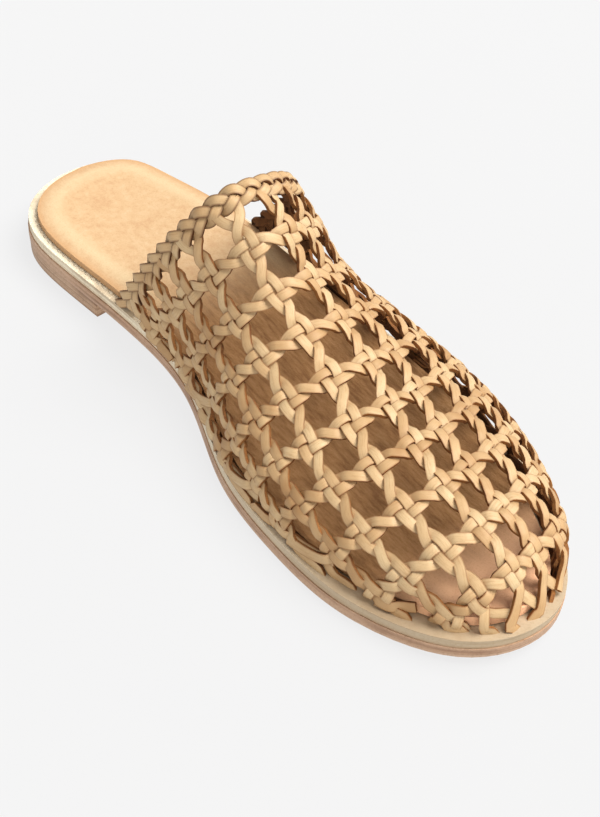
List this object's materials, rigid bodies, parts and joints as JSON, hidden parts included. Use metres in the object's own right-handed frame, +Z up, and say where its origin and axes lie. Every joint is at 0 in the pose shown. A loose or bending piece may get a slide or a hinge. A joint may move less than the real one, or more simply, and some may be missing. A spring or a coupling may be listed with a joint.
{
  "type": "woven mule",
  "caption": "Low-heeled slip-on mule, open at the back, with a woven leather net upper, a plaited collar, a padded insole and a layered leather sole.",
  "frame": {"origin": "middle of the shoe's footprint, on the floor", "axes": "+X from the heel to the toe, +Y to the outer side of the foot, +Z up"},
  "size_m": [0.262, 0.0938, 0.0774],
  "materials": {
    "heel": "stacked leather, waxed edge",
    "outsole": "brown sole leather, waxed edge",
    "midsole": "pale natural leather",
    "insole": "soft peach suede",
    "upper": "natural tan strips, satin"
  },
  "bodies": {
    "root": {"heel": "heel", "outsole": "outsole", "midsole": "midsole", "insole": "insole", "upper": "upper"}
  },
  "joints": []
}
